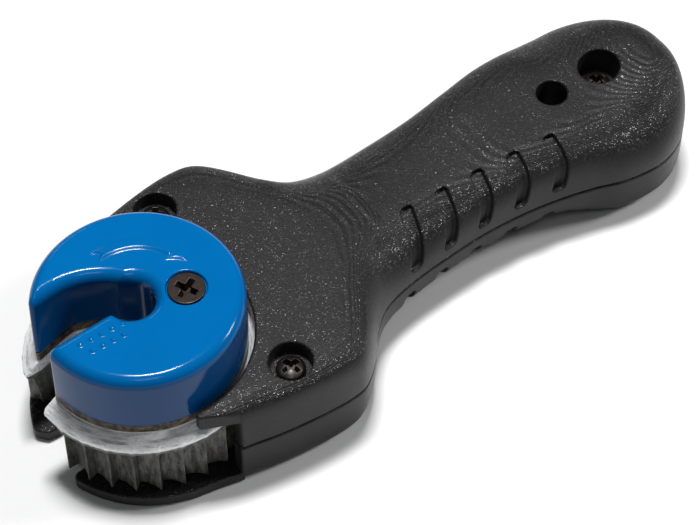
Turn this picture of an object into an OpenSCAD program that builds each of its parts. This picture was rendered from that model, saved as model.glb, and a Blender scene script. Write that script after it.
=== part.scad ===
// Ratchet tube tool with a slotted C head: a zinc ratchet wheel under a blue cap turns
// in the front of a two-shell plastic handle. The origin is on the head axis, where the
// tube goes, in the plane that the tool lies on. +X runs along the handle, +Z is up.

/* [Cap] */
// Diameter of the round cap
cap_d = 32; // [31.5:0.1:32.4]
// Height of the cap above the ratchet wheel
cap_h = 11.3; // [10:0.1:13]
// Radius of the rounded top edge of the cap
cap_round = 1; // [0.6:0.1:1.5]

/* [Ratchet wheel] */
// Number of ratchet teeth
teeth = 30; // [30:1:30]
// Radius of the tooth tips
tip_r = 17.95; // [17.8:0.05:18]
// Radius of the tooth roots
root_r = 16.2; // [16:0.1:16.3]
// Radius of the collar above the teeth
collar_r = 18.2; // [18.1:0.05:18.22]

/* [Tube] */
// Radius of the largest tube that the head holds
tube_r = 2.38; // [2.3:0.02:2.4]
// Width of the slot in the plate under the wheel
plate_slot = 8.1; // [7.6:0.1:8.4]

/* [Handle] */
// Height of the parting plane between the two shells
part_z = 9.3; // [9:0.1:9.6]
// Wall thickness of the shells
wall = 2.2; // [2:0.1:2.4]
// Thickness of the plate under the wheel
plate_t = 2.4; // [2.2:0.1:2.5]
// Radius of the hanging hole
hang_r = 2.55; // [2.3:0.05:2.8]

/* [Mechanism] */
// Radius of the cutter wheel
cutter_r = 3.2; // [3.1:0.05:3.25]
// Radius of the two guide rollers
roller_r = 2; // [1.9:0.05:2.05]
// Direction in which the cutter carriage slides, from +X
slide_dir = 75; // [74:1:76]
// Radius of the pawl pins
pawl_pin_r = 1.5; // [1.3:0.1:1.6]

/* [Hidden] */
$fn = 64;
fit = 0.05;          // radial clearance of a running fit
through = 40;        // longer than any cut needs
cap_z = 17.6;        // underside of the cap
cap_top = cap_z + cap_h;
cap_r = cap_d / 2;
opening_r = cap_r + 0.9;   // round opening of the upper shell
recess_r = 18.45;    // room for the teeth inside the shells
plate_r = 18.7;      // round edge of the plate under the wheel
plate_at = [0.3, -0.4];
lip_z = 15.8;        // underside of the lip that holds the collar down
wheel_z = 2.9;       // underside of the teeth
collar_z = 13.8;     // top of the teeth and underside of the collar
crest_z = 15.6;      // top of the collar's chamfer
window_x = 3.3;      // where the side walls end and the teeth show
horn_tip = [-2.1, 17.9];  // front end of each of the upper shell's horns
horn_root = 20.45;   // how far out a horn's slanted front ends, at window_x
screw_head = [2.3, 1.7];  // radius and height of a shell screw's head
pocket_z = 5.9;      // floor of the wheel's pockets

// Handle stations: x, half width, top, bottom, squareness above and below the parting, middle
STATIONS = [
    [-4, 20.2, 19.2, 0, 9, 12, 0], [3, 20.7, 19.2, 0, 9, 12, 0], [10, 22.2, 19.2, 0, 9, 12, 0],
    [17, 23.2, 19.2, 0, 9, 12, 0], [22, 23.5, 19.2, 0, 7.5, 10, 0], [25, 22.9, 19.2, 0, 6, 6.5, 0],
    [28.5, 20.3, 19.2, 0, 4, 4.5, 0], [32, 16.4, 19.2, 0.2, 3, 4, 0],
    [36, 13.4, 18.9, 1.8, 2.6, 4.5, 0], [42, 11.9, 18.4, 2.8, 2.8, 5, 0],
    [50, 11.3, 18.1, 3.4, 3.6, 5, 0], [58, 11.2, 18.2, 3.8, 4.4, 5, 0],
    [66, 11.9, 18.7, 3.9, 5, 5, -0.1], [72, 12.9, 18.9, 3.7, 4.9, 5, -0.3],
    [77, 13.8, 19.1, 1.8, 4.2, 6, -0.8], [82, 14.8, 19.2, 0, 3.3, 6, -1.6],
    [87, 15.1, 19.6, 0, 2.9, 6, -2.1], [101.5, 15.1, 21.6, 0, 2.8, 6, -2.8]];
butt_x = 87;         // widest place of the butt, where its elliptic end starts
butt_end = 101.5;
round_x = 90;        // where the butt's top and bottom start to round over
RINGS = [-4, 3, 10, 17, 20, 22.5, 25, 27, 29, 31, 33, 35, 37.5, 40, 44, 50, 58, 64, 68,
    72, 75, 78, 81, 84, 87, 90, 92.5, 94.5, 96.5, 98, 99.3, 100.5, 101.2];
ring_steps = 16;

front_screw = [14.6, 17.7];
rear_screw = [87.9, -1.5];
hang_at = [78.6, -0.95];
cap_screw_at = [6.36, -3.44];
inner_at = (tube_r + roller_r) * dir(-72);
outer_at = (tube_r + roller_r) * dir(-163);
cutter_at = (tube_r + cutter_r) * dir(slide_dir);
cutter_low = 10.4;
cutter_high = 12.4;
first_gap = 3.9;           // direction of the bottom of the first gap between teeth
pawl_angles = [first_gap, first_gap - 36];
pivot = [21.5, 10.5];      // a pawl's pin, in the pawl's own frame
pawl_low = 4.9;
pawl_high = 12.7;

function dir(a) = [cos(a), sin(a)];
function polar(r, a) = r * dir(a);
// Smooth curve through column c of the stations
function place(x, i = 0) = i >= len(STATIONS) - 2 || x < STATIONS[i + 1][0] ? i : place(x, i + 1);
function rise(i, c) =
    let(a = max(i - 1, 0), b = min(i + 1, len(STATIONS) - 1))
    (STATIONS[b][c] - STATIONS[a][c]) / (STATIONS[b][0] - STATIONS[a][0]);
function smooth(x, c) =
    let(i = place(x), p = STATIONS[i], q = STATIONS[i + 1], w = q[0] - p[0], s = (x - p[0]) / w)
    (2 * s ^ 3 - 3 * s ^ 2 + 1) * p[c] + (s ^ 3 - 2 * s ^ 2 + s) * w * rise(i, c)
    + (3 * s ^ 2 - 2 * s ^ 3) * q[c] + (s ^ 3 - s ^ 2) * w * rise(i + 1, c);
function half_width(x) = x < butt_x ? smooth(x, 1)
    : STATIONS[len(STATIONS) - 1][1] * sqrt(max(0, 1 - ((x - butt_x) / (butt_end - butt_x)) ^ 2));
function rounding(x) = x < round_x ? 1
    : max(0, 1 - ((x - round_x) / (butt_end - round_x)) ^ 4) ^ 0.25;
// Height of the top (side 1) or depth of the bottom (side -1) from the parting plane
function reach(x, side) =
    (side > 0 ? smooth(x, 2) - part_z : part_z - max(0, smooth(x, 3))) * rounding(x);
function squareness(x, side) = smooth(x, side > 0 ? 4 : 5);
function middle(x) = smooth(x, 6);
// One cross-section, inset by t, with straight skirts e below the parting plane
function ring(x, side, t, e) =
    let(a = half_width(x) - t, h = reach(x, side) - t, n = squareness(x, side), m = middle(x))
    concat([[x, m - a, part_z - side * e]],
        [for (k = [0:ring_steps]) let(q = 180 - 180 * k / ring_steps)
            [x, m + a * sign(cos(q)) * abs(cos(q)) ^ (2 / n),
                part_z + side * h * abs(sin(q)) ^ (2 / n)]],
        [[x, m + a, part_z - side * e]]);

// Half of the handle's outer form above (side 1) or below (side -1) the parting plane
module half_form(side, t, e, first, last) {
    xs = concat(t > 0 ? [-6] : [], [for (x = RINGS) if (x >= first && x <= last) x]);
    rows = [for (x = xs) ring(max(x, -4), side, t, e)];
    n = len(rows[0]);
    pts = [for (i = [0:len(xs) - 1]) for (p = rows[i]) [xs[i], p[1], p[2]]];
    sides = [for (i = [0:len(xs) - 2]) for (k = [0:n - 1])
        let(a = i * n + k, b = i * n + (k + 1) % n, c = a + n, d = b + n)
        for (f = [[a, b, d], [a, d, c]]) side > 0 ? f : [f[2], f[1], f[0]]];
    start = [for (k = [0:n - 1]) k];
    end = [for (k = [0:n - 1]) (len(xs) - 1) * n + k];
    caps = side > 0 ? [[for (k = [n - 1:-1:0]) start[k]], end]
        : [start, [for (k = [n - 1:-1:0]) end[k]]];
    polyhedron(points = pts, faces = concat(sides, caps), convexity = 6);
}

// Outline of the C head's slot: a keyhole on the tube's place and a curved way in
module slot_outline() {
    translate([-1, 0.1])
        circle(r = 3.5);
    difference() {
        union() {
            translate([-9.5, -3.7])
                circle(r = 11.9, $fn = 96);
            translate([-30, 0])
                square([20.5, 8.2]);
        }
        translate([-40, -60])
            square([80, 60]);
        translate([-5.2, -20])
            square([40, 23.4]);
        translate([0.6, -1])
            square([20, 20]);
    }
    polygon([[-6.4, -0.05], [-5, -1], [-4.3, -2], [-3, -2.6], [-1, 1], [0.6, 3.1], [0.6, 3.45],
        [-5.3, 3.6], [-6.4, 2]]);
}

module slot_cut(low, high) {
    translate([0, 0, low])
        linear_extrude(high - low)
            slot_outline();
}

// A hole or a pin on a vertical axis
module upright(at, r, low, high) {
    translate([at[0], at[1], low])
        cylinder(r = r, h = high - low);
}

// Grooves for the fingers, along the one side of the grip that they wrap round
module grip_grooves(low, high) {
    for (k = [0:4])
        let(x = 43.6 + 6.9 * k)
            translate([x, middle(x) - half_width(x) - 2.1, part_z])
                rotate([0, 19, 0])
                    translate([-1, -3, low - part_z])
                        cube([2, 6, high - low]);
}

module upper_shell() {
    color("#2b2b2d")
        difference() {
            union() {
                difference() {
                    half_form(1, 0, 0, -4, butt_end);
                    half_form(1, wall, 1, -4, 98);
                }
                intersection() {
                    half_form(1, 0.4, 0, -4, 98);
                    union() {
                        for (side = [-1, 1])
                            upright([front_screw[0], side * front_screw[1]], 4.2, part_z, 30);
                        upright(rear_screw, 4.6, part_z, 30);
                        upright(hang_at, 4.2, part_z, 30);
                        upright([0, 0], 20.2, collar_z - 0.3, 30);
                        for (a = pawl_angles)
                            rotate(a)
                                upright(pivot, 3, 14, 30);
                    }
                }
            }
            upright([0, 0], opening_r, 0, through);
            upright([0, 0], collar_r + 0.08, 0, lip_z);
            upright([0, 0], recess_r, 0, collar_z - 0.3);
            for (side = [-1, 1])
                linear_extrude(through)
                    polygon([[-30, 0], [horn_tip[0], 0], [horn_tip[0], side * horn_tip[1]],
                        [window_x, side * horn_root], [window_x, side * 30], [-30, side * 30]]);
            translate([window_x - 30, -30, 0])
                cube([30, 60, lip_z]);
            for (side = [-1, 1]) {
                upright([front_screw[0], side * front_screw[1]], 3.35, 16.4, through);
                upright([front_screw[0], side * front_screw[1]], 1.4, 0, through);
            }
            upright(rear_screw, 3.35, 14.6, through);
            upright(rear_screw, 1.4, 0, through);
            upright(hang_at, hang_r, -1, through);
            for (a = pawl_angles)
                rotate(a)
                    upright(pivot, pawl_pin_r + fit, 0, 17.4);
            grip_grooves(11.6, 17);
        }
}

module lower_shell() {
    color("#29292b")
        difference() {
            union() {
                difference() {
                    half_form(-1, 0, 0, 3, butt_end);
                    half_form(-1, wall, 1, -4, 98);
                }
                intersection() {
                    half_form(-1, 0.4, 0, 3, 98);
                    union() {
                        for (side = [-1, 1])
                            upright([front_screw[0], side * front_screw[1]], 4.2, 0, part_z);
                        upright(rear_screw, 4.6, 0, part_z);
                        upright(hang_at, 4.2, 0, part_z);
                        for (a = pawl_angles)
                            rotate(a) {
                                upright(pivot, 3, 0, 4.6);
                                translate([26.6, 0.8, 0.5])
                                    cube([1.6, 6.4, 8.6]);
                            }
                    }
                }
                translate(plate_at)
                    rotate_extrude($fn = 128)
                        polygon([[0, 0], [plate_r - 1, 0], [plate_r - 0.3, 0.3],
                            [plate_r, 1], [plate_r, plate_t], [0, plate_t]]);
                translate([0, 0, 0.3])
                    linear_extrude(plate_t - 0.3)
                        polygon([[-5, -18.3], [3.3, -20.6], [3.3, 20.6], [-5, 18.3]]);
            }
            upright([0, 0], recess_r, plate_t, through);
            rotate(183.9) {
                translate([0, -plate_slot / 2, -1])
                    cube([30, plate_slot, 8]);
                upright([0, 0], plate_slot / 2, -1, 8);
                for (side = [-1, 1])
                    translate([0, 0, -1])
                        linear_extrude(8)
                            polygon([[15.6, side * 4], [16.8, side * 4.5], [17.4, side * 5.7],
                                [20, side * 8], [20, side * 4]]);
            }
            for (side = [-1, 1])
                upright([front_screw[0], side * front_screw[1]], 1.3, 2, through);
            upright(rear_screw, 1.3, 2, through);
            upright(hang_at, hang_r, -1, through);
            for (a = pawl_angles)
                rotate(a)
                    upright(pivot, pawl_pin_r + fit, 1.2, through);
            grip_grooves(4, 8);
        }
}

// Pan-head cross-recess screw, its head's top at z
module pan_screw(at, z, length) {
    difference() {
        union() {
            upright(at, screw_head[0], z - screw_head[1], z);
            upright(at, 1.25, z - screw_head[1] - length, z - screw_head[1]);
        }
        for (a = [30, 120])
            translate([at[0], at[1], z - 0.4])
                rotate(a)
                    cube([2.8, 0.6, 1.6], center = true);
    }
}

module front_shell_screws() {
    color("#3a3632")
        for (side = [-1, 1])
            pan_screw([front_screw[0], side * front_screw[1]], 18.1, 13);
}

module rear_shell_screw() {
    color("#3a3632")
        pan_screw(rear_screw, 16.3, 11);
}

// Saw-tooth outline: each tooth rises slowly and drops over its last 15 %
module tooth_outline() {
    pitch = 360 / teeth;
    polygon([for (k = [0:teeth - 1]) for (p = [[root_r, 0], [tip_r, 0.85]])
        polar(p[0], first_gap + (k + p[1]) * pitch)]);
}

module roller_pocket(at) {
    upright(at, roller_r + 0.3, pocket_z, 30);
    upright(at, 0.8 + fit, 3.3, 30);
}

module ratchet_wheel() {
    color("#a9a9a6")
        difference() {
            union() {
                upright([0, 0], 15, plate_t + 0.1, wheel_z);
                translate([0, 0, wheel_z])
                    linear_extrude(collar_z - wheel_z)
                        tooth_outline();
                rotate_extrude($fn = 128)
                    polygon([[0, collar_z], [collar_r, collar_z], [collar_r, collar_z + 0.5],
                        [16.4, crest_z], [15.9, crest_z], [15.9, cap_z], [0, cap_z]]);
            }
            slot_cut(0, 30);
            translate([-30, -3.4, 0])
                cube([18, 5, collar_z]);
            roller_pocket(inner_at);
            roller_pocket(outer_at);
            rotate(slide_dir)
                translate([1, -3.4, pocket_z])
                    cube([13.2, 6.8, 30]);
            rotate(slide_dir)
                translate([tube_r + cutter_r, 0, cutter_low - 0.5])
                    cylinder(r = cutter_r + 2, h = cutter_high - cutter_low + 1);
            upright(cap_screw_at, 1.55, 8, 30);
            for (p = [[3, -11.5], [10, 6]])
                upright(p, 1.3, cap_z - 2.4, 30);
        }
}

module cap_profile() {
    difference() {
        square([cap_r, cap_h]);
        translate([cap_r - cap_round, cap_h - cap_round])
            difference() {
                square(2 * cap_round);
                circle(r = cap_round);
            }
    }
}

module head_cap() {
    color("#0a6cb8")
        difference() {
            union() {
                translate([0, 0, cap_z])
                    rotate_extrude($fn = 128)
                        cap_profile();
                for (p = [[3, -11.5], [10, 6]])
                    upright(p, 1.2, cap_z - 2, cap_z + 1);
            }
            slot_cut(0, 40);
            upright(cap_screw_at, 3.07, cap_top - 0.55, 40);
            upright(cap_screw_at, 1.6, 0, 40);
            translate([cap_screw_at[0], cap_screw_at[1], cap_top - 1.95])
                cylinder(r1 = 1.6, r2 = 2.95, h = 1.41);
        }
}

module cap_screw() {
    color("#33261e")
        difference() {
            union() {
                translate([cap_screw_at[0], cap_screw_at[1], cap_top - 1.85])
                    cylinder(r1 = 1.5, r2 = 2.85, h = 1.4);
                upright(cap_screw_at, 2.85, cap_top - 0.45, cap_top - 0.25);
                upright(cap_screw_at, 1.5, cap_top - 20, cap_top - 1.85);
            }
            for (a = [25, 115])
                translate([cap_screw_at[0], cap_screw_at[1], cap_top - 0.7])
                    rotate(a)
                        cube([3.2, 0.6, 1.6], center = true);
        }
}

module roller(at) {
    difference() {
        upright(at, roller_r, pocket_z + 0.3, 15.6);
        upright(at, 0.8 + fit, 0, 30);
    }
}

module inner_roller() {
    color("#c9cbcd")
        roller(inner_at);
}

module outer_roller() {
    color("#c9cbcd")
        roller(outer_at);
}

// Headed pin that a roller turns on
module roller_pin(at) {
    upright(at, 0.8, 3.4, 15.8);
    upright(at, 1.5, 15.8, 16.6);
}

module inner_roller_pin() {
    color("#8f9194")
        roller_pin(inner_at);
}

module outer_roller_pin() {
    color("#8f9194")
        roller_pin(outer_at);
}

// Wheel with a sharp rim that cuts round the tube and cleans its edge
module cutter_wheel() {
    color("#d5d6d8")
        translate([cutter_at[0], cutter_at[1], 0])
            difference() {
                rotate_extrude()
                    polygon([[0, cutter_low], [cutter_r - 1.2, cutter_low],
                        [cutter_r, (cutter_low + cutter_high) / 2],
                        [cutter_r - 1.2, cutter_high], [0, cutter_high]]);
                upright([0, 0], 1 + fit, 0, 30);
            }
}

module cutter_axle() {
    color("#8f9194")
        upright(cutter_at, 1, pocket_z + 0.6, 16.6);
}

// Fork that carries the cutter wheel and slides in the ratchet wheel
module cutter_carriage() {
    front = tube_r + 2.1;
    back = 10.2;
    color("#7b7d80")
        rotate(slide_dir)
            difference() {
                translate([0, 0, pocket_z + 0.1])
                    linear_extrude(11.2)
                        polygon([[front, -3.3], [back, -3.3], [back, 3.3], [front + 1.6, 3.3],
                            [front, 1.7]]);
                translate([0, -10, cutter_low - 0.3])
                    cube([tube_r + 2 * cutter_r + 0.4, 20, cutter_high - cutter_low + 0.6]);
                upright([tube_r + cutter_r, 0], 1 + fit, 0, 30);
            }
}

// Coil spring along +X from x0 to x1, as a swept ring of points
module coil(x0, x1, radius, wire, turns) {
    steps = 12;
    sides = 6;
    count = steps * turns;
    pts = [for (i = [0:count]) let(a = 360 * i / steps, x = x0 + wire + (x1 - x0 - 2 * wire) * i / count)
        for (k = [0:sides - 1]) let(b = 360 * k / sides, r = radius + wire * cos(b))
            [x + wire * sin(b), r * cos(a), r * sin(a)]];
    walls = [for (i = [0:count - 1]) for (k = [0:sides - 1])
        let(a = i * sides + k, b = i * sides + (k + 1) % sides)
        for (f = [[a, b, b + sides], [a, b + sides, a + sides]]) f];
    polyhedron(points = pts, faces = concat(walls, [[for (k = [sides - 1:-1:0]) k]],
        [[for (k = [0:sides - 1]) count * sides + k]]), convexity = 10);
}

module carriage_spring() {
    color("#b9bbbd")
        rotate(slide_dir)
            translate([0, 0, 11.5])
                coil(10.2, 14.2, 2.2, 0.3, 4);
}

// Pawl whose nose stands in a gap between teeth, in its own frame
module pawl() {
    difference() {
        union() {
            translate([0, 0, pawl_low])
                linear_extrude(pawl_high - pawl_low)
                    polygon([polar(17.22, -0.6), polar(17.5, 1), polar(18.08, 4.2), [18.6, 9.7],
                        [24.3, 9.7], [22.6, 1.5], [20.4, -0.9], polar(18.1, -1.45)]);
            upright(pivot, 3, pawl_low, pawl_high);
        }
        upright(pivot, pawl_pin_r + fit, 0, 30);
    }
}

module left_pawl() {
    color("#6d6f72")
        rotate(pawl_angles[1])
            pawl();
}

module right_pawl() {
    color("#6d6f72")
        rotate(pawl_angles[0])
            pawl();
}

module pawl_pin() {
    upright(pivot, pawl_pin_r, 1.3, 17.2);
}

module left_pawl_pin() {
    color("#9a9c9f")
        rotate(pawl_angles[1])
            pawl_pin();
}

module right_pawl_pin() {
    color("#9a9c9f")
        rotate(pawl_angles[0])
            pawl_pin();
}

module pawl_spring() {
    translate([0, 4, 7])
        coil(23.62, 26.6, 1.6, 0.22, 4);
}

module left_pawl_spring() {
    color("#b9bbbd")
        rotate(pawl_angles[1])
            pawl_spring();
}

module right_pawl_spring() {
    color("#b9bbbd")
        rotate(pawl_angles[0])
            pawl_spring();
}

upper_shell();
lower_shell();
front_shell_screws();
rear_shell_screw();
ratchet_wheel();
head_cap();
cap_screw();
inner_roller();
outer_roller();
inner_roller_pin();
outer_roller_pin();
cutter_wheel();
cutter_axle();
cutter_carriage();
carriage_spring();
left_pawl();
right_pawl();
left_pawl_pin();
right_pawl_pin();
left_pawl_spring();
right_pawl_spring();
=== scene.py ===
"""Looks for the ratchet tube deburring tool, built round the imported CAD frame.

Shapes are fields: functions that are negative inside a solid, and near its surface a distance
in millimetres. Each moulded or cast piece and each screw is one field, polygonised on a grid.
"""
import math

import bmesh
import bpy
import numpy as np
import openvdb
from mathutils import Matrix, Vector


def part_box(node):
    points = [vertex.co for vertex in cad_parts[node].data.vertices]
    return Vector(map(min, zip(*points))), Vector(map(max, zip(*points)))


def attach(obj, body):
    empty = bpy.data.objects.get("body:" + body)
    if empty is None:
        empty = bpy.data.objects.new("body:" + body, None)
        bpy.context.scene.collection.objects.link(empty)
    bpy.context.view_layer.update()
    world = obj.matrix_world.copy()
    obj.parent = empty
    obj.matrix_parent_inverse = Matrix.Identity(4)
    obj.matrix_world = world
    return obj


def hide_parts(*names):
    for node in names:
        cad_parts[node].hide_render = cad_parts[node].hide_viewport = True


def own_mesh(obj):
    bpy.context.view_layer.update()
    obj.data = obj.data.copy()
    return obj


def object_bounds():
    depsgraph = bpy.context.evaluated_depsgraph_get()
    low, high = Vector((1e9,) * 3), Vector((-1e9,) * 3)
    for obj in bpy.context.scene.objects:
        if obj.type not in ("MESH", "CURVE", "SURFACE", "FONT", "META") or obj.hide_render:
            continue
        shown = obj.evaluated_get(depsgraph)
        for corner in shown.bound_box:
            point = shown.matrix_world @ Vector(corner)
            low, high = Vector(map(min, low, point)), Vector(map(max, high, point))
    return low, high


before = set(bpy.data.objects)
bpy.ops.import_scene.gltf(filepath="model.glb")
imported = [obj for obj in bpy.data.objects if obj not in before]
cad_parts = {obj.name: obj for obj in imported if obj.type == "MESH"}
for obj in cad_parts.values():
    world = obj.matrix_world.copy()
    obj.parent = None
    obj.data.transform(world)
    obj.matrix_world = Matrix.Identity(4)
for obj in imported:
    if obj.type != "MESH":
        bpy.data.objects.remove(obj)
cad_low, cad_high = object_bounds()

MM = 0.001

# ---------------------------------------------------------------- sizes, in millimetres
PART_Z, SEAM, WALL = 9.3, 0.09, 2.2   # plane between the shells, half its gap, their wall
CAP_R, CAP_Z, CAP_TOP, CAP_ROUND = 16.0, 17.6, 28.9, 1.9
RELIEF, ARROW_R = 0.22, 9.2   # height of the raised marks on the cap, and the arrow's radius
PEGS, PEG_R = ((3, -11.5), (10, 6)), 1.2   # pegs under the cap, in holes of the wheel
TEETH, TIP_R, ROOT_R, FIRST_GAP = 30, 17.95, 16.2, 3.9
WHEEL_Z, COLLAR_LOW, COLLAR_Z, CREST_Z, COLLAR_R = 2.9, 13.0, 13.8, 16.0, 18.19
PLATE_T, PLATE_R, PLATE_AT, PLATE_SLOT = 2.4, 18.7, (0.3, -0.4), 8.1
OPENING_R, RECESS_R, COLLAR_ROOM = 16.9, 18.45, 18.28
WINDOW_X, LIP_Z = 3.3, 15.8
HORN_TIP, HORN_ROOT = (-2.1, 17.9), 20.45
SHELL_SCREW_R, SHELL_SCREW_H = 2.3, 1.7
FRONT_TOP, REAR_TOP, FRONT_FLOOR, REAR_FLOOR, BORE_R = 18.1, 16.3, 16.4, 14.6, 3.35
HOLE_R, PILOT_R, PILOT_FLOOR = 1.4, 1.3, 2.0   # shell screws' holes, upper and lower shell
TUBE_R, ROLLER_R, CUTTER_R, CUTTER_Z, SLIDE_DIR = 2.38, 2.0, 3.2, 11.4, 75.0
ROLLER_ANGLES, ROLLER_FLOOR, ROLLER_PIN_R, ROLLER_PIN_FLOOR = (-72, -163), 5.9, 0.85, 3.3
CHANNEL_NEAR, CHANNEL_FAR, CHANNEL_HALF = 1.0, 14.2, 3.4   # carriage's channel in the wheel
FRONT_SCREW, REAR_SCREW, HANG_AT, HANG_R = (14.6, 17.7), (87.9, -1.5), (78.6, -0.95), 2.55
CAP_SCREW = (6.36, -3.44)
PAWL_ANGLES = {"right_pawl": FIRST_GAP, "left_pawl": FIRST_GAP - 36}
PAWL_PIVOT, PAWL_PIN_R, PAWL_BOSS_R = (21.5, 10.5), 1.5, 3.0
SPRING_Z, PAWL_SPRING_FOOT, PAWL_SPRING_STOP = 7.0, (23.62, 4.0), 26.6
CARRIAGE_SPRING_FOOT, CARRIAGE_SPRING_Z = 10.2, 11.5

# Handle stations: x, half width, top, bottom, squareness above and below the parting, middle
STATIONS = np.array([
    [-4, 20.2, 19.2, 0, 9, 12, 0], [3, 20.7, 19.2, 0, 9, 12, 0], [10, 22.2, 19.2, 0, 9, 12, 0],
    [17, 23.2, 19.2, 0, 9, 12, 0], [22, 23.45, 19.2, 0, 7.5, 10, 0], [25, 22.9, 19.2, 0, 6, 6.5, 0],
    [28.5, 20.3, 19.2, 0, 4, 4.5, 0], [32, 16.4, 19.2, 0.2, 3, 4, 0],
    [36, 13.4, 18.9, 1.8, 2.6, 4.5, 0], [42, 11.9, 18.4, 2.8, 2.8, 5, 0],
    [50, 11.3, 18.1, 3.4, 3.6, 5, 0], [58, 11.2, 18.2, 3.8, 4.4, 5, 0],
    [66, 11.9, 18.7, 3.9, 5, 5, -0.1], [72, 12.9, 18.9, 3.7, 4.9, 5, -0.3],
    [77, 13.8, 19.1, 1.8, 4.2, 6, -0.8], [82, 14.8, 19.2, 0, 3.3, 6, -1.6],
    [87, 15.1, 19.6, 0, 2.9, 6, -2.1], [101.5, 15.1, 21.6, 0, 2.8, 6, -2.8]])
BUTT_X, BUTT_END, ROUND_X = 87.0, 101.2, 90.0
HALF_WIDTH, TOP, BOTTOM, SQUARE_TOP, SQUARE_BOTTOM, MIDDLE = range(1, 7)
LEVEL_STEP = 0.14        # height between the contour lines that the mould's cutter left
# Finger grooves: first one's place at its low and high ends, then the spacing of the ends
GROOVES, GROOVE_HALF, GROOVE_DEEP = 5, 1.15, 0.95
GROOVE_LOW, GROOVE_HIGH = (43.1, 6.9), (46.3, 6.55)
GROOVE_TURN_LOW, GROOVE_TURN_HIGH = 12.0, (62.5, -2.2)


# ---------------------------------------------------------------- fields
def meet(a, b, r=0.0):
    """What is in both a and b, with the edge between them rounded by r."""
    if r == 0:
        return np.maximum(a, b)
    return np.minimum(-r, np.maximum(a, b)) + np.hypot(np.maximum(a + r, 0), np.maximum(b + r, 0))


def join(a, b, r=0.0):
    """What is in a or b, with a fillet of radius r between them."""
    return -meet(-a, -b, r)


def cut(a, b, r=0.0):
    """What is in a and not in b, with the edge rounded by r."""
    return meet(a, -b, r)


def disc(x, y, at, r):
    return np.hypot(x - at[0], y - at[1]) - r


def turned(x, y, angle):
    """The point's coordinates in a frame turned by angle, in degrees, about Z."""
    c, s = math.cos(math.radians(angle)), math.sin(math.radians(angle))
    return c * x + s * y, c * y - s * x


def polar(r, angle):
    return r * math.cos(math.radians(angle)), r * math.sin(math.radians(angle))


def outline(x, y, points):
    """Signed distance of the closed outline through points."""
    nearest = np.full(np.broadcast(x, y).shape, 1e6, np.float32)
    inside = np.zeros(nearest.shape, bool)
    for (ax, ay), (bx, by) in zip(points, points[1:] + points[:1]):
        dx, dy = bx - ax, by - ay
        t = np.clip(((x - ax) * dx + (y - ay) * dy) / (dx * dx + dy * dy), 0, 1)
        nearest = np.minimum(nearest, (x - ax - t * dx) ** 2 + (y - ay - t * dy) ** 2)
        if dy:
            crosses = ((ay > y) != (by > y)) & (x < dx * (y - ay) / dy + ax)
            inside ^= crosses
    return np.where(inside, -1, 1) * np.sqrt(nearest)


def station(x, column):
    """Smooth curve through a column of the handle's stations."""
    xs, vs = STATIONS[:, 0], STATIONS[:, column]
    ends = np.arange(len(xs))
    before, after = np.maximum(ends - 1, 0), np.minimum(ends + 1, len(xs) - 1)
    rise = (vs[after] - vs[before]) / (xs[after] - xs[before])
    i = np.clip(np.searchsorted(xs, x, side="right") - 1, 0, len(xs) - 2)
    w = xs[i + 1] - xs[i]
    s = (np.minimum(x, xs[-1]) - xs[i]) / w
    return ((2 * s**3 - 3 * s**2 + 1) * vs[i] + (s**3 - 2 * s**2 + s) * w * rise[i]
            + (3 * s**2 - 2 * s**3) * vs[i + 1] + (s**3 - s**2) * w * rise[i + 1])


def raw_form(x, y, z, side):
    """Zero on the handle's outer form above (side 1) or below (side -1) the parting plane."""
    left = 1 - (np.maximum(x - BUTT_X, 0) / (BUTT_END - BUTT_X)) ** 2
    end = np.sqrt(np.maximum(left, 0))
    roof = (1 - np.clip((x - ROUND_X) / (BUTT_END - ROUND_X), 0, 1) ** 4) ** 0.25
    if side > 0:
        height = station(x, TOP) - PART_Z + crown(x)
    else:
        height = PART_Z - np.maximum(station(x, BOTTOM), 0)
    n = station(x, SQUARE_TOP if side > 0 else SQUARE_BOTTOM)
    across = np.abs(y - station(x, MIDDLE)) / station(x, HALF_WIDTH)
    up = np.maximum(side * (z - PART_Z), 0) / height * end / np.maximum(roof, 0.02)
    return (across**n + up**n) ** (2 / n) - left


def crown(x):
    """How far the head's rounded form would rise over its flat top."""
    return 1.1 * np.clip((42 - x) / 10, 0, 1)


def plateau(x):
    """Height of the plane that cuts the head flat, out of the way over the grip."""
    return 19.2 + np.maximum(x - 40, 0)


def form(x, y, z, side):
    """Distance from the handle's outer form."""
    e = 0.05
    at = raw_form(x, y, z, side)
    slope = np.sqrt(((raw_form(x + e, y, z, side) - at) / e) ** 2
                    + ((raw_form(x, y + e, z, side) - at) / e) ** 2
                    + ((raw_form(x, y, z + e, side) - at) / e) ** 2)
    return at / np.maximum(slope, 0.01)


def groove(x, y, z, skin, side, k):
    """One finger groove: a rounded slot that follows the skin of a shell round the grip."""
    low_x, high_x = GROOVE_LOW[0] + GROOVE_LOW[1] * k, GROOVE_HIGH[0] + GROOVE_HIGH[1] * k
    low_turn, high_turn = GROOVE_TURN_LOW, GROOVE_TURN_HIGH[0] + GROOVE_TURN_HIGH[1] * k
    ref = (low_x + high_x) / 2
    half, middle = float(station(ref, HALF_WIDTH)), float(station(ref, MIDDLE))
    if side < 0:
        low_x, high_x = low_x - 1.1, low_x - 3.0
    scale = half * 0.94 * math.pi / 180
    turn = np.degrees(np.arctan2(side * (z - PART_Z), middle - y))
    reach = (high_turn - low_turn) / 2 * scale
    along = (turn - (low_turn + high_turn) / 2) * scale
    slant = low_x + (high_x - low_x) * (along + reach) / (2 * reach)
    plan = meet(np.abs(x - slant) - GROOVE_HALF, np.abs(along) - reach, 0.75)
    return meet(plan, -(skin + GROOVE_DEEP), 0.3)


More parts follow.
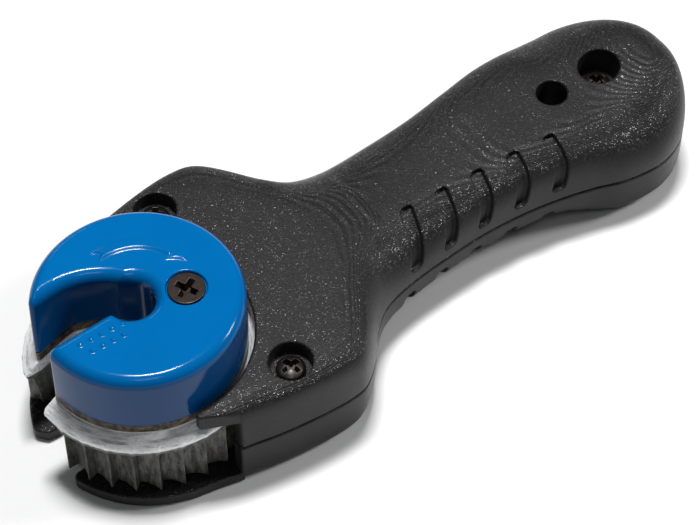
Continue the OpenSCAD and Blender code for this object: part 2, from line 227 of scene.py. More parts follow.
def grooves(shell, x, y, z, skin, side):
    for k in range(GROOVES):
        near = np.abs(x - GROOVE_LOW[0] - 1 - GROOVE_LOW[1] * k).reshape(-1) < 5
        if shell.ndim < 3:
            shell = cut(shell, groove(x, y, z, skin, side, k), 0.25)
        elif near.any():
            part = slice(near.argmax(), near.size - near[::-1].argmax())
            shell[part] = cut(shell[part], groove(x[part], y, z, skin[part], side, k), 0.25)
    return shell


def slot(x, y, z):
    """The C head's slot: a keyhole at the tube's place and a curved way in.

    Its far wall leans in towards the joint of cap and wheel, from above and from below.
    """
    share = np.clip(np.minimum((28.4 - z) / 10.8, (z - 1.9) / 13.1), 0, 1)
    lean = np.clip((-7 - x) * 0.24, 0, 1.7) * share * np.clip((y - 2) / 3, 0, 1)
    y = y + lean
    way = join(disc(x, y, (-9.5, -3.7), 11.9), meet(x + 9.5, y - 8.2))
    return join(disc(x, y, (-1, 0.1), 3.5), meet(way, -y), 0.9)


def front_screw_places():
    return [(FRONT_SCREW[0], hand * FRONT_SCREW[1]) for hand in (-1, 1)]


def screw_bosses(x, y):
    """Columns round the screws and the hang hole, from shell to shell."""
    columns = np.minimum(disc(x, y, REAR_SCREW, 4.6), disc(x, y, HANG_AT, 4.2))
    for at in front_screw_places():
        columns = np.minimum(columns, disc(x, y, at, 4.2))
    return columns


def upper_shell(x, y, z):
    skin = form(x, y, z, 1)
    shell = meet(skin, z - plateau(x), 1.3)
    shell = grooves(shell, x, y, z, skin, 1)
    shell = meet(shell, PART_Z + SEAM - z, 0.4)
    bosses = np.maximum(screw_bosses(x, y), 9 - z)
    bosses = np.minimum(bosses, np.maximum(np.hypot(x, y) - 20.2, 13.5 - z))
    for angle in PAWL_ANGLES.values():
        px, py = turned(x, y, angle)
        bosses = np.minimum(bosses, np.maximum(disc(px, py, PAWL_PIVOT, PAWL_BOSS_R), 14 - z))
    hollow = meet(skin + WALL, z - plateau(x) + WALL)
    shell = cut(shell, cut(hollow, bosses, 0.3))
    far = np.hypot(x, y)
    shell = cut(shell, far - OPENING_R, 0.45)
    shell = cut(shell, np.maximum(far - COLLAR_ROOM, z - LIP_Z), 0.15)
    shell = cut(shell, np.maximum(far - RECESS_R, z - COLLAR_Z + 0.3), 0.15)
    out = 30   # clear of the shell
    front = [(-out, 0), (HORN_TIP[0], 0), HORN_TIP, (WINDOW_X, HORN_ROOT), (WINDOW_X, out), (-out, out)]
    shell = cut(shell, outline(x, np.abs(y), front), 0.45)
    shell = cut(shell, meet(x - WINDOW_X, z - LIP_Z), 0.3)
    for at in front_screw_places():
        shell = cut(shell, np.maximum(disc(x, y, at, BORE_R), FRONT_FLOOR - z), 0.25)
        shell = cut(shell, disc(x, y, at, HOLE_R))
    shell = cut(shell, np.maximum(disc(x, y, REAR_SCREW, BORE_R), REAR_FLOOR - z), 0.35)
    shell = cut(shell, disc(x, y, REAR_SCREW, HOLE_R))
    shell = cut(shell, disc(x, y, HANG_AT, HANG_R - 0.05), 0.3)
    for angle in PAWL_ANGLES.values():
        px, py = turned(x, y, angle)
        shell = cut(shell, np.maximum(disc(px, py, PAWL_PIVOT, PAWL_PIN_R + 0.05), z - 17.4))
    return shell


def plate_slot(x, y):
    """The way in through the plate, on the line of the first gap between teeth."""
    along, across = turned(x, y, 180 + FIRST_GAP)
    half = PLATE_SLOT / 2
    return np.minimum(disc(x, y, (0, 0), half), np.maximum(-along, np.abs(across) - half))


def plate(x, y, z):
    """The C-shaped plate under the wheel, with one end of the C drawn out to a tip."""
    plan = disc(x, y, PLATE_AT, PLATE_R)
    flare = [(-5, -18.2), (3.6, -20.55), (3.6, 20.55), (-5, 18.2)]
    plan = join(plan, outline(x, y, flare), 0.6)
    plan = cut(plan, plate_slot(x, y), 1.4)
    along, across = turned(x, y, 180 + FIRST_GAP)
    tip = [(14.7, 3.9), (15.9, 4.3), (16.8, 5.5), (19.5, 9), (22, 9), (22, 3.9)]
    plan = cut(plan, outline(along, -across, tip), 0.6)
    return meet(meet(plan, z - PLATE_T, 0.25), -z, 0.5)


def lower_shell(x, y, z):
    skin = form(x, y, z, -1)
    shell = grooves(skin + 0, x, y, z, skin, -1)
    shell = meet(shell, z - PART_Z + SEAM, 0.4)
    shell = meet(shell, 3.2 - x, 0.3)
    bosses = screw_bosses(x, y)
    for angle in PAWL_ANGLES.values():
        px, py = turned(x, y, angle)
        bosses = np.minimum(bosses, np.maximum(disc(px, py, PAWL_PIVOT, PAWL_BOSS_R), z - 4.6))
        stop = np.maximum(np.abs(px - 27.4) - 0.8, np.abs(py - PAWL_SPRING_FOOT[1]) - 3.2)
        bosses = np.minimum(bosses, np.maximum(stop, z - 9.1))
    shell = cut(shell, cut(skin + WALL, bosses, 0.3))
    far, way = np.hypot(x, y), plate_slot(x, y)
    shell = cut(shell, np.maximum(far - RECESS_R, PLATE_T - z), 0.2)
    shell = cut(shell, np.maximum(far - RECESS_R + 0.5, z - PLATE_T))
    shell = cut(join(shell, plate(x, y, z)), way)
    for at in front_screw_places() + [REAR_SCREW]:
        shell = cut(shell, np.maximum(disc(x, y, at, PILOT_R), PILOT_FLOOR - z))
    shell = cut(shell, disc(x, y, HANG_AT, HANG_R), 0.4)
    for angle in PAWL_ANGLES.values():
        px, py = turned(x, y, angle)
        shell = cut(shell, np.maximum(disc(px, py, PAWL_PIVOT, PAWL_PIN_R + 0.05), 1.2 - z))
    return shell


def arrow(x, y):
    """A curved arrow round the head's axis: swallow tail at one end, head at the other."""
    far, turn = np.hypot(x, y), np.degrees(np.arctan2(y, x))
    mid, tail, neck, tip = ARROW_R, 98, 20, 4
    off = np.abs(far - mid)
    past_tail, past_neck = (turn - tail) * mid / 57.3, (neck - turn) * mid / 57.3
    band = meet(off - 0.95, np.maximum(past_tail + 1.2 - off, past_neck))
    head = np.maximum(-past_neck, (off - 1.7) + past_neck * 1.7 / ((neck - tip) * mid / 57.3))
    return np.minimum(band, head * 0.75)


def marks(x, y):
    """Two rows of plain raised dots beside the slot."""
    dots = 1e3
    for row, count in ((0, 5), (1, 4)):
        for k in range(count):
            at = (-11.6 + 1.75 * k + 0.8 * row, -2.6 - 1.9 * row - 0.12 * k)
            dots = np.minimum(dots, disc(x, y, at, 0.42))
    return dots


def head_cap(x, y, z):
    raised = np.clip(0.4 - arrow(x, y) / 0.9, 0, 1) + np.clip(0.4 - marks(x, y) / 0.6, 0, 1)
    raised = raised * raised * (3 - 2 * raised)
    top = CAP_TOP - RELIEF * (1 - np.minimum(raised, 1))
    plan = cut(disc(x, y, (0, 0), CAP_R), slot(x, y, z), 1.3)
    cap = meet(plan, z - top, CAP_ROUND)
    cap = meet(cap, CAP_Z - z, 0.25)
    pegs = np.minimum(disc(x, y, PEGS[0], PEG_R), disc(x, y, PEGS[1], PEG_R))
    cap = join(cap, meet(meet(pegs, CAP_Z - 2 - z, 0.2), z - CAP_Z - 1))
    screw = disc(x, y, CAP_SCREW, 0)
    cap = cut(cap, np.maximum(screw - 3.07, CAP_TOP - 0.75 - z), 0.3)
    return cut(cap, screw - 1.6 - np.clip(z - (CAP_TOP - 1.95), 0, 1.35))


def teeth(x, y):
    """Saw teeth: a slow, slightly hollow rise and a steep drop over the last of each pitch."""
    pitch = 360 / TEETH
    profile = [(ROOT_R, 0), (ROOT_R + 0.22, 0.3), (ROOT_R + 0.85, 0.62), (TIP_R, 0.86)]
    points = [polar(r, FIRST_GAP + (k + p) * pitch) for k in range(TEETH) for r, p in profile]
    return outline(x, y, points)


def roller_pockets(x, y, z):
    pockets = 1e3
    for angle in ROLLER_ANGLES:
        far = disc(x, y, polar(TUBE_R + ROLLER_R, angle), 0)
        pockets = np.minimum(pockets, np.maximum(far - ROLLER_R - 0.3, ROLLER_FLOOR - z))
        pockets = np.minimum(pockets, np.maximum(far - ROLLER_PIN_R, ROLLER_PIN_FLOOR - z))
    return pockets


def ratchet_wheel(x, y, z):
    far, way = np.hypot(x, y), slot(x, y, z)
    wheel = meet(meet(cut(teeth(x, y), way, 0.4), WHEEL_Z - z, 0.15), z - COLLAR_Z - 0.4)
    chamfer = (far - COLLAR_R) * 0.585 + (z - COLLAR_Z - 0.55) * 0.811
    rim = cut(far - COLLAR_R, way, 1.3)
    collar = meet(meet(meet(rim, COLLAR_LOW - z, 0.35), chamfer, 0.45), z - CREST_Z, 0.3)
    wheel = join(wheel, collar, 0.7)
    wheel = join(wheel, meet(cut(far - 15.9, way, 0.9), z - CAP_Z))
    wheel = join(wheel, cut(meet(far - 15, np.abs(z - 2.9) - 0.4), way))
    wheel = cut(wheel, np.maximum(np.maximum(x + 12, np.abs(y + 0.9) - 2.5), z - COLLAR_Z), 0.2)
    wheel = cut(wheel, roller_pockets(x, y, z))
    along, across = turned(x, y, SLIDE_DIR)
    channel = np.maximum(CHANNEL_NEAR - along, along - CHANNEL_FAR)
    channel = np.maximum(channel, np.maximum(np.abs(across) - CHANNEL_HALF, ROLLER_FLOOR - z))
    wheel = cut(wheel, channel)
    cutter = disc(along, across, (TUBE_R + CUTTER_R, 0), CUTTER_R + 2)
    wheel = cut(wheel, np.maximum(cutter, np.abs(z - CUTTER_Z) - 1.5))
    wheel = cut(wheel, np.maximum(disc(x, y, CAP_SCREW, 1.55), 8 - z))
    for at in PEGS:
        wheel = cut(wheel, np.maximum(disc(x, y, at, PEG_R + 0.1), CAP_Z - 2.4 - z))
    return wheel


def cross_recess(x, y, depth, turn, length, width):
    """Cross recess that narrows as it goes down; depth is counted from the head's top."""
    px, py = turned(x, y, turn)
    arms = 1e3
    for a, b in ((px, py), (py, px)):
        arms = np.minimum(arms, np.maximum(np.abs(a) - length / 2 + 0.45 * depth,
                                           np.abs(b) - width / 2 + 0.12 * depth))
    core = np.hypot(px, py) - width * 0.78 + 0.3 * depth
    return np.maximum(join(arms, core, 0.12), depth - length * 0.42)


def pan_screw(x, y, z, at, top, length, turn):
    px, py = x - at[0], y - at[1]
    far = np.hypot(px, py)
    dome = np.hypot(far, z - (top - 3.8)) - 3.8
    head = meet(meet(far - SHELL_SCREW_R, dome, 0.3), top - SHELL_SCREW_H - z, 0.1)
    head = cut(head, cross_recess(px, py, top - z, turn, 3.4, 0.95), 0.08)
    thread = 0.12 * np.abs(((z / 0.9 - np.arctan2(py, px) / math.tau) % 1) * 2 - 1)
    shank = meet(far - 1.25 + thread, np.abs(z - (top - 1.6) + length / 2) - length / 2, 0.2)
    return join(head, shank)


def front_shell_screws(x, y, z):
    left, right = front_screw_places()
    left = pan_screw(x, y, z, left, FRONT_TOP, 13, 10)
    right = pan_screw(x, y, z, right, FRONT_TOP, 13, 55)
    return np.minimum(left, right)


def rear_shell_screw(x, y, z):
    return pan_screw(x, y, z, REAR_SCREW, REAR_TOP, 11, 10)


def cap_screw(x, y, z):
    px, py = x - CAP_SCREW[0], y - CAP_SCREW[1]
    far, top = np.hypot(px, py), CAP_TOP - 0.3
    cone = (far - 2.85 - (z - top + 0.3)) * 0.707
    head = meet(meet(meet(far - 2.85, cone, 0.05), z - top, 0.15), top - 1.8 - z)
    head = cut(head, cross_recess(px, py, top - z, 25, 3.6, 0.95), 0.1)
    thread = 0.12 * np.abs(((z / 0.5 - np.arctan2(py, px) / math.tau) % 1) * 2 - 1)
    shank = meet(far - 1.5 + thread, np.abs(z - (CAP_TOP - 10.9)) - 9.1, 0.3)
    return join(head, shank)


# ---------------------------------------------------------------- meshes
def axis_points(low, high, step):
    return np.arange(low, high + step, step, dtype=np.float32)


def mesh_object(name, points, faces, normals=None):
    mesh = bpy.data.meshes.new(name)
    mesh.from_pydata([tuple(p) for p in points * MM], [], faces)
    mesh.update()
    mesh.shade_smooth()
    if normals is not None:
        mesh.normals_split_custom_set_from_vertices(normals)
    piece = bpy.data.objects.new(name, mesh)
    bpy.context.scene.collection.objects.link(piece)
    return piece


def polygonised(name, field, low, high, step, keep=1.0):
    """Closed mesh of a field inside a box, its points and normals set from the field itself."""
    x = axis_points(low[0], high[0], step)[:, None, None]
    y = axis_points(low[1], high[1], step)[None, :, None]
    z = axis_points(low[2], high[2], step)[None, None, :]
    values = np.broadcast_to(field(x, y, z), (x.size, y.size, z.size))
    grid = openvdb.FloatGrid(3 * step)
    grid.copyFromArray(np.clip(values, -3 * step, 3 * step).astype(np.float32))
    points, _, quads = grid.convertToPolygons(isovalue=0.0, adaptivity=0.0)
    points = points.astype(float) * step + np.array([x.flat[0], y.flat[0], z.flat[0]], float)
    corners = points[quads]
    volume = np.einsum("ij,ij->", corners[:, 0], np.cross(corners[:, 1], corners[:, 2]))
    if volume < 0:
        quads = quads[:, ::-1]
    if keep < 1:
        points, faces = thinned(points, quads, keep)
    else:
        faces = quads.tolist()
    points, normals = settled(points, field, step)
    return mesh_object(name, points, faces, normals)


def thinned(points, quads, keep):
    """The mesh with its flat stretches merged, down to about keep of its faces."""
    mesh = bpy.data.meshes.new("thinned")
    mesh.from_pydata(points.tolist(), [], quads.tolist())
    scratch = bpy.data.objects.new("thinned", mesh)
    bpy.context.scene.collection.objects.link(scratch)
    thin = scratch.modifiers.new("thin", "DECIMATE")
    thin.ratio = keep
    graph = bpy.context.evaluated_depsgraph_get()
    done = bpy.data.meshes.new_from_object(scratch.evaluated_get(graph))
    found = np.empty(len(done.vertices) * 3)
    done.vertices.foreach_get("co", found)
    faces = [list(p.vertices) for p in done.polygons]
    bpy.data.objects.remove(scratch)
    return found.reshape(-1, 3), faces


def settled(points, field, step):
    """Points moved on to the field's surface, and the surface's normals there."""
    def slope(p, e):
        parts = []
        for axis in range(3):
            a, b = p.copy(), p.copy()
            a[:, axis] += e
            b[:, axis] -= e
            parts.append((field(*a.T) - field(*b.T)) / (2 * e))
        return np.stack(parts, axis=1)

    for _ in range(2):
        g = slope(points, step * 0.25)
        size = np.maximum((g * g).sum(axis=1, keepdims=True), 0.25)
        move = -field(*points.T)[:, None] * g / size
        points = points + np.clip(move, -0.3 * step, 0.3 * step)
    g = slope(points, step * 0.5)
    return points, g / np.maximum(np.linalg.norm(g, axis=1, keepdims=True), 1e-6)


def coil(name, start, along, radius, wire, turns, length):
    """Compression spring from start along a unit vector, its turns closest together a quarter of the way
    in from each end.
    """
    along = np.array(along, float)
    side = np.array([0, 0, 1.0])
    third = np.cross(along, side)
    steps, sides = 28 * turns, 12
    share = np.linspace(0, 1, steps + 1)
    ease = share + 0.045 * np.sin(4 * math.pi * share)
    travel = wire + (length - 2 * wire) * ease
    turn = math.tau * turns * share
    points, faces = [], []
    for d, a in zip(travel, turn):
        out = math.cos(a) * side + math.sin(a) * third
        centre = np.array(start) + along * d + out * radius
        for k in range(sides):
            b = math.tau * k / sides
            points.append(centre + wire * (math.cos(b) * out + math.sin(b) * along))
    for i in range(steps):
        for k in range(sides):
            a, b = i * sides + k, i * sides + (k + 1) % sides
            faces.append([a, b, b + sides, a + sides])
    faces.append(list(range(sides))[::-1])
    faces.append([steps * sides + k for k in range(sides)])
    return mesh_object(name, np.array(points), faces)


# ---------------------------------------------------------------- materials
class Nodes:
    """A new material and short ways to add nodes to it."""

    def __init__(self, name):
        self.material = bpy.data.materials.new(name)
        self.material.use_nodes = True
        self.tree = self.material.node_tree
        self.shader = self.tree.nodes["Principled BSDF"]
        self.place = self.add("ShaderNodeTexCoord").outputs["Object"]

    def add(self, kind, **settings):
        node = self.tree.nodes.new(kind)
        for key, value in settings.items():
            setattr(node, key, value)
        return node

    def put(self, value, socket):
        if isinstance(value, bpy.types.NodeSocket):
            self.tree.links.new(value, socket)
        else:
            socket.default_value = value

    def maths(self, operation, a, b=0.0, clamp=False):
        node = self.add("ShaderNodeMath", operation=operation, use_clamp=clamp)
        self.put(a, node.inputs[0])
        self.put(b, node.inputs[1])
        return node.outputs[0]

    def noise(self, size, detail=2.0, rough=0.5, place=None):
        """Noise whose features are about size millimetres wide, from 0 to 1."""
        node = self.add("ShaderNodeTexNoise")
        self.put(place or self.place, node.inputs["Vector"])
        node.inputs["Scale"].default_value = 1 / (size * MM)
        node.inputs["Detail"].default_value = detail
        node.inputs["Roughness"].default_value = rough
        return node.outputs["Fac"]

    def cells(self, size):
        """Small cells about size millimetres wide, each of one random colour."""
        node = self.add("ShaderNodeTexVoronoi")
        self.put(self.place, node.inputs["Vector"])
        node.inputs["Scale"].default_value = 1 / (size * MM)
        return node.outputs["Color"]

    def upward(self):
        """The upward part of the surface's normal: 1 on a flat top, 0 on a wall."""
        facing = self.add("ShaderNodeSeparateXYZ")
        self.put(self.add("ShaderNodeNewGeometry").outputs["Normal"], facing.inputs[0])
        return facing.outputs["Z"]

    def ramp(self, value, *stops):
        """value mapped through (position, colour or number) stops."""
        node = self.add("ShaderNodeValToRGB")
        self.put(value, node.inputs[0])
        marks = node.color_ramp.elements
        while len(marks) < len(stops):
            marks.new(0.5)
        for mark, (position, colour) in zip(marks, stops):
            mark.position = position
            mark.color = (*colour, 1) if isinstance(colour, tuple) else (colour, colour, colour, 1)
        return node.outputs["Color"]

    def mix(self, share, a, b):
        node = self.add("ShaderNodeMix", data_type="RGBA")
        self.put(share, node.inputs["Factor"])
        self.put((*a, 1) if isinstance(a, tuple) else a, node.inputs["A"])
        self.put((*b, 1) if isinstance(b, tuple) else b, node.inputs["B"])
        return node.outputs["Result"]

    def axis(self, letter):
        node = self.add("ShaderNodeSeparateXYZ")
        self.put(self.place, node.inputs[0])
        return node.outputs[letter]

    def bump(self, height, depth, strength=1.0, under=None):
        """Bump of a height from 0 to 1 that stands for depth millimetres."""
        node = self.add("ShaderNodeBump")
        self.put(height, node.inputs["Height"])
        node.inputs["Distance"].default_value = depth * MM
        node.inputs["Strength"].default_value = strength
        if under is not None:
            self.put(under, node.inputs["Normal"])
        return node.outputs["Normal"]

    def tilted(self, normal, colour, share):
        """The normal, leaned by a share of a random colour, as a flake in the surface leans."""
        lean = self.add("ShaderNodeVectorMath", operation="SUBTRACT")
        self.put(colour, lean.inputs[0])
        lean.inputs[1].default_value = (0.5, 0.5, 0.5)
        scaled = self.add("ShaderNodeVectorMath", operation="SCALE")
        self.put(lean.outputs[0], scaled.inputs[0])
        self.put(share, scaled.inputs["Scale"])
        total = self.add("ShaderNodeVectorMath", operation="ADD")
        self.put(normal, total.inputs[0])
        self.put(scaled.outputs[0], total.inputs[1])
        unit = self.add("ShaderNodeVectorMath", operation="NORMALIZE")
        self.put(total.outputs[0], unit.inputs[0])
        return unit.outputs[0]

    def finish(self, **values):
        for key, value in values.items():
            self.put(value, self.shader.inputs[key.replace("_", " ").title()])
        return self.material


def band(n, value, low, high, soft):
    """1 where value is between low and high, in metres, fading over soft."""
    rise = n.maths("DIVIDE", n.maths("SUBTRACT", value, low), soft, clamp=True)
    fall = n.maths("DIVIDE", n.maths("SUBTRACT", high, value), soft, clamp=True)
    return n.maths("MULTIPLY", rise, fall)


def shell_plastic(name, shade):
    """Charcoal glass-filled nylon: eroded grain, pale flakes with painted glints on upward faces, and
    the mould cutter's contour lines.
    """
    n = Nodes(name)
    up = n.upward()
    wander = n.maths("MULTIPLY", n.maths("SUBTRACT", n.noise(6, 1), 0.5), 0.12 * MM)
    level = n.maths("MULTIPLY", n.maths("ADD", n.axis("Z"), wander), 1 / (LEVEL_STEP * MM))
    ridge = n.maths("ABSOLUTE", n.maths("SUBTRACT", n.maths("FRACT", level), 0.5))
    sloped = n.maths("MULTIPLY", n.maths("SUBTRACT", 0.9990, up), 700, clamp=True)
    shallow = n.maths("MULTIPLY", n.maths("SUBTRACT", up, 0.84), 14, clamp=True)
    patchy = n.ramp(n.noise(8, 1), (0.36, 0.55), (0.56, 1.0))
    lines = n.maths("MULTIPLY", n.maths("MULTIPLY", ridge, 2.0), n.maths("MULTIPLY", sloped, shallow))
    lines = n.maths("MULTIPLY", lines, patchy)
    grain = n.noise(0.32, 3, 0.7)
    colour = n.cells(0.16)
    chosen = n.add("ShaderNodeSeparateColor")
    n.put(colour, chosen.inputs[0])
    # Painted glints: the flakes are kept to faces turned up to the overhead lamp; the walls get none.
    lit = n.maths("MULTIPLY", n.maths("SUBTRACT", up, 0.45), 4, clamp=True)
    flakes_and_painted_glint = n.maths("MULTIPLY", n.maths("GREATER_THAN", chosen.outputs[0], 0.88), lit)
    machined = n.bump(lines, 0.085)
    eroded = n.maths("ADD", grain, n.maths("MULTIPLY", n.noise(0.17, 2), 0.5))
    rough = n.bump(eroded, 0.085, 0.9, machined)
    base = n.mix(n.ramp(grain, (0.35, 0.0), (0.7, 1.0)), shade, tuple(c * 1.9 for c in shade))
    # Painted glint: flake cells get a paler base colour, on upward faces only; their metal and leaned
    # normals reflect for real.
    base = n.mix(n.maths("MULTIPLY", flakes_and_painted_glint, 0.8), base, (0.16, 0.16, 0.165))
    dull = n.maths("ADD", 0.3, n.maths("MULTIPLY", n.noise(2.5, 2), 0.1))
    dull = n.maths("SUBTRACT", dull, n.maths("MULTIPLY", flakes_and_painted_glint, 0.1))
    tilted = n.tilted(rough, colour, n.maths("MULTIPLY", flakes_and_painted_glint, 0.34))
    flake = n.maths("MULTIPLY", flakes_and_painted_glint, 0.8)
    n.shader.inputs["Specular IOR Level"].default_value = 0.17
    return n.finish(base_color=base, roughness=dull, metallic=flake, normal=tilted)


def blue_paint():
    """Thick glossy paint with painted shade, darker blue on walls than on tops: slight orange peel and
    tiny dust spots.
    """
    n = Nodes("blue_paint")
    peel = n.bump(n.noise(2.6, 2, 0.5), 0.05, 0.14)
    dust = n.bump(n.ramp(n.noise(0.5, 1), (0.74, 0.0), (0.8, 1.0)), 0.012, 0.3, peel)
    # Painted shade: the blue is mixed down to a darker blue as the surface turns from a top to a wall.
    level = n.maths("MULTIPLY", n.upward(), 1.0, clamp=True)
    tone = n.mix(n.noise(7, 2), (0.0, 0.114, 0.345), (0.0, 0.133, 0.39))
    tone = n.mix(level, (0.0, 0.052, 0.18), tone)
    gloss = n.maths("ADD", 0.1, n.maths("MULTIPLY", n.noise(1.4, 2), 0.05))
    n.shader.inputs["Specular IOR Level"].default_value = 0.17
    return n.finish(base_color=tone, roughness=gloss, normal=dust)


def round_the_head(n):
    """Coordinates that draw a noise out into streaks round the head's axis."""
    x, y = n.axis("X"), n.axis("Y")
    radius = n.maths("SQRT", n.maths("ADD", n.maths("POWER", x, 2), n.maths("POWER", y, 2)))
    around = n.maths("MULTIPLY", n.maths("ARCTAN2", y, x), COLLAR_R * MM * 0.12)
    rings = n.add("ShaderNodeCombineXYZ")
    for value, socket in zip((radius, n.axis("Z"), around), rings.inputs):
        n.put(value, socket)
    return rings.outputs[0]


def zinc():
    """Grey zinc casting: pitted, drawn out up its teeth, worn and painted near-white on the collar as a
    painted highlight, brown above.
    """
    n = Nodes("zinc")
    z = n.axis("Z")
    # Band over the collar's crest: wear, and a near-white colour there that stands in for the crest's
    # bright reflection, a painted highlight.
    wear_and_painted_highlight = band(n, z, (COLLAR_Z - 0.1) * MM, (CREST_Z + 0.2) * MM, 0.25 * MM)
    brown = band(n, z, (CREST_Z - 0.1) * MM, (CAP_Z + 0.3) * MM, 0.3 * MM)
    upright = n.add("ShaderNodeVectorMath", operation="MULTIPLY")
    n.put(n.place, upright.inputs[0])
    upright.inputs[1].default_value = (1, 1, 0.25)
    mottle = n.noise(0.8, 5, 0.7, upright.outputs[0])
    grey = n.mix(n.ramp(mottle, (0.38, 0.0), (0.62, 1.0)), (0.036, 0.036, 0.03), (0.17, 0.168, 0.152))
    streak = n.ramp(n.noise(0.4, 4, 0.7, round_the_head(n)), (0.28, 0.0), (0.52, 1.0))
    # Scuffs painted from grey up to near-white: partly wear, partly painted highlight.
    scuffs_and_painted_highlight = n.mix(streak, (0.3, 0.3, 0.3), (0.93, 0.94, 0.95))
    stain = n.ramp(n.noise(0.9, 4, 0.65), (0.4, 0.0), (0.62, 1.0))
    tarnish = n.mix(stain, (0.03, 0.022, 0.014), (0.17, 0.13, 0.09))
    tone = n.mix(brown, n.mix(wear_and_painted_highlight, grey, scuffs_and_painted_highlight), tarnish)
    pits = n.ramp(n.noise(0.5, 3, 0.6), (0.33, 0.12), (0.42, 1.0))
    spotted = n.add("ShaderNodeMix", data_type="RGBA", blend_type="MULTIPLY")
    n.put(n.maths("SUBTRACT", 0.75, n.maths("MULTIPLY", wear_and_painted_highlight, 0.6)), spotted.inputs["Factor"])
    n.put(tone, spotted.inputs["A"])
    n.put(pits, spotted.inputs["B"])
    rough = n.maths("ADD", 0.3, n.maths("MULTIPLY", n.noise(0.8, 4), 0.3))
    coarse = n.bump(n.noise(0.9, 5, 0.7), 0.2, 0.6)
    fine = n.bump(pits, 0.06, 0.6, coarse)
    # Less metallic on the crest, so its painted near-white shows as a painted highlight.
    solid = n.maths("SUBTRACT", 0.6, n.maths("MULTIPLY", wear_and_painted_highlight, 0.35))
    return n.finish(base_color=spotted.outputs["Result"], metallic=solid, roughness=rough, normal=fine)


def metal(name, low, high, size, roughness, spread, depth, metallic=0.95):
    """A plain metal part: mottled between two shades, with fine bump."""
    n = Nodes(name)
    n.shader.inputs["Metallic"].default_value = metallic
    tone = n.mix(n.noise(size, 4, 0.6), low, high)
    rough = n.maths("ADD", roughness, n.maths("MULTIPLY", n.noise(size * 0.6, 3), spread))
    return n.finish(base_color=tone, roughness=rough, normal=n.bump(n.noise(size * 0.4, 3), depth, 0.5))


# ---------------------------------------------------------------- the object
CHARCOAL = (0.0118, 0.0108, 0.0114)
plastic_top = shell_plastic("shell_plastic_upper", CHARCOAL)
plastic_low = shell_plastic("shell_plastic_lower", CHARCOAL)
paint = blue_paint()
casting = zinc()
# metal: name, its two shades, size of the mottling, least roughness and its spread, bump depth
black_steel = metal("black_screw_steel", (0.02, 0.018, 0.017), (0.11, 0.10, 0.09), 0.7, 0.25, 0.25, 0.02)
brown_steel = metal("brown_oxide_steel", (0.018, 0.011, 0.009), (0.04, 0.027, 0.021), 0.9, 0.24, 0.14,
                    0.02, metallic=0.5)
bright_steel = metal("bright_steel", (0.5, 0.51, 0.52), (0.7, 0.71, 0.72), 1.2, 0.2, 0.15, 0.004)
tool_steel = metal("tool_steel", (0.55, 0.56, 0.58), (0.74, 0.75, 0.76), 0.8, 0.16, 0.1, 0.003)
carriage_steel = metal("carriage_steel", (0.26, 0.27, 0.28), (0.42, 0.43, 0.44), 1.6, 0.35, 0.2, 0.01)
pawl_steel = metal("pawl_steel", (0.22, 0.23, 0.24), (0.38, 0.39, 0.4), 1.1, 0.4, 0.2, 0.02)
spring_steel = metal("spring_steel", (0.48, 0.49, 0.5), (0.68, 0.69, 0.7), 1.0, 0.25, 0.12, 0.004)

SHAPED = [
    # piece, CAD node, body, slot, material, field, grid step, share of faces kept
    ("upper_shell_moulding", "upper_shell", "handle", "shell_plastic", plastic_top,
     upper_shell, 0.25, 0.48),
    ("lower_shell_moulding", "lower_shell", "handle", "shell_plastic", plastic_low,
     lower_shell, 0.25, 0.46),
    ("painted_cap", "head_cap", "head", "blue_paint", paint,
     head_cap, 0.15, 0.6),
    ("wheel_casting", "ratchet_wheel", "head", "zinc_casting", casting,
     ratchet_wheel, 0.14, 0.33),
    ("front_screws_cross_head", "front_shell_screws", "handle", "black_screw_steel", black_steel,
     front_shell_screws, 0.07, 1.0),
    ("rear_screw_cross_head", "rear_shell_screw", "handle", "black_screw_steel", black_steel,
     rear_shell_screw, 0.07, 1.0),
    ("cap_screw_countersunk", "cap_screw", "head", "brown_oxide_steel", brown_steel,
     cap_screw, 0.07, 1.0),
]


def joined(name, pieces):
    """Several meshes as one piece."""
    mesh = bpy.data.meshes.new(name)
    whole = bmesh.new()
    for p in pieces:
        whole.from_mesh(p.data)
        bpy.data.objects.remove(p)
    whole.to_mesh(mesh)
    whole.free()
    mesh.shade_smooth()
    piece = bpy.data.objects.new(name, mesh)
    bpy.context.scene.collection.objects.link(piece)
    return piece


def place(piece, node, body, slot_name, material):
    piece.data.materials.append(material)
    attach(piece, body)
    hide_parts(node)


def shaped(name, node, field, step, keep):
    """The piece of a field, on a grid just wider than its CAD node's box."""
    low, high = (np.array(corner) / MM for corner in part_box(node))
    if node != "front_shell_screws":
        return polygonised(name, field, low - 3 * step, high + 3 * step, step, keep)
    parts = []
    for at in front_screw_places():
        reach = np.full(2, SHELL_SCREW_R + 0.3)
        box_low = np.append(at - reach, low[2] - 0.5)
        box_high = np.append(at + reach, high[2] + 0.5)
        parts.append(polygonised(name + "_part", field, box_low, box_high, step, keep))
    return joined(name, parts)


for name, node, body, slot_name, material, field, step, keep in SHAPED:
    place(shaped(name, node, field, step, keep), node, body, slot_name, material)

slide = np.array([*polar(1, SLIDE_DIR), 0])
lift = np.array([0, 0, CARRIAGE_SPRING_Z])
spring = coil("carriage_spring_wire", slide * CARRIAGE_SPRING_FOOT + lift, slide, 2.2, 0.3, 5, 4.0)
place(spring, "carriage_spring", "head", "spring_steel", spring_steel)
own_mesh(spring)

for side, angle in PAWL_ANGLES.items():
    along = np.array([*polar(1, angle), 0])
    across = np.array([-along[1], along[0], 0])
    offset = across * PAWL_SPRING_FOOT[1] + np.array([0, 0, SPRING_Z])
    spring = coil(side + "_spring_wire", along * PAWL_SPRING_FOOT[0] + offset, along, 1.6, 0.22, 5, 2.98)
    place(spring, side + "_spring", "handle", "spring_steel", spring_steel)
    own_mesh(spring)

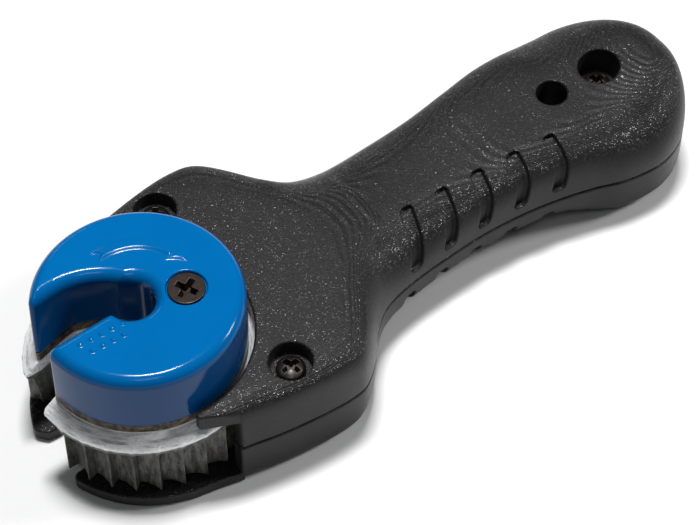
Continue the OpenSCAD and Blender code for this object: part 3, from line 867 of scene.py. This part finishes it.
for nodes, material in (
    (("inner_roller", "outer_roller", "inner_roller_pin", "outer_roller_pin", "cutter_axle",
      "left_pawl_pin", "right_pawl_pin"), bright_steel),
    (("cutter_wheel",), tool_steel),
    (("cutter_carriage",), carriage_steel),
    (("left_pawl", "right_pawl"), pawl_steel),
):
    for node in nodes:
        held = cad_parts[node].data.materials
        held.clear()
        held.append(material)


# ---------------------------------------------------------------- the studio
def floor(half, colour):
    mesh = bpy.data.meshes.new("floor")
    flat = bmesh.new()
    bmesh.ops.create_grid(flat, x_segments=8, y_segments=8, size=half)
    flat.to_mesh(mesh)
    flat.free()
    piece = bpy.data.objects.new("floor", mesh)
    piece.location = (0.04, 0, cad_low[2])
    bpy.context.scene.collection.objects.link(piece)
    n = Nodes("floor")
    mesh.materials.append(n.finish(base_color=n.mix(n.noise(60, 2), colour, colour), roughness=0.7))


def softbox(name, azimuth, elevation, distance, width, height, power):
    """Area light that faces the head from a direction, in degrees, azimuth counted from +X."""
    light = bpy.data.lights.new(name, "AREA")
    light.shape, light.size, light.size_y, light.energy = "RECTANGLE", width, height, power
    lamp = bpy.data.objects.new(name, light)
    middle = Vector((0.035, -0.005, 0.015))
    flat = math.cos(math.radians(elevation))
    away = Vector((*(c * flat for c in polar(1, azimuth)), math.sin(math.radians(elevation))))
    lamp.location = middle + away * distance
    lamp.rotation_euler = away.to_track_quat("Z", "Y").to_euler()
    bpy.context.scene.collection.objects.link(lamp)


def camera():
    """The camera at the photograph's view: long lens, well above the front of the head."""
    target = Vector((33.18, -7.65, 17.6)) * MM
    eye = Vector((-110.1, -197.1, 335.7)) * MM
    lens = bpy.data.cameras.new("camera")
    lens.sensor_width, lens.lens = 36, 133.86
    lens.clip_start, lens.clip_end = 0.02, 20
    view = bpy.data.objects.new("camera", lens)
    turn = (eye - target).to_track_quat("Z", "Y").to_matrix().to_4x4()
    view.matrix_world = Matrix.Translation(eye) @ turn
    bpy.context.scene.collection.objects.link(view)
    bpy.context.scene.camera = view


floor(3.0, (0.84, 0.84, 0.84))
softbox("overhead", 60, 81, 0.9, 0.2, 0.12, 8.6)
softbox("front", 236, 60, 1.1, 0.3, 0.2, 0.7)
softbox("near_side", -25, 36, 1.0, 0.2, 0.14, 3.8)
softbox("far_side", 80, 25, 1.1, 0.25, 0.12, 0.3)
world = bpy.data.worlds.new("studio")
world.use_nodes = True
world.node_tree.nodes["Background"].inputs[0].default_value = (0.8, 0.85, 0.9, 1)
world.node_tree.nodes["Background"].inputs[1].default_value = 0.05
bpy.context.scene.world = world
bpy.context.scene.view_settings.view_transform = "Standard"
camera()
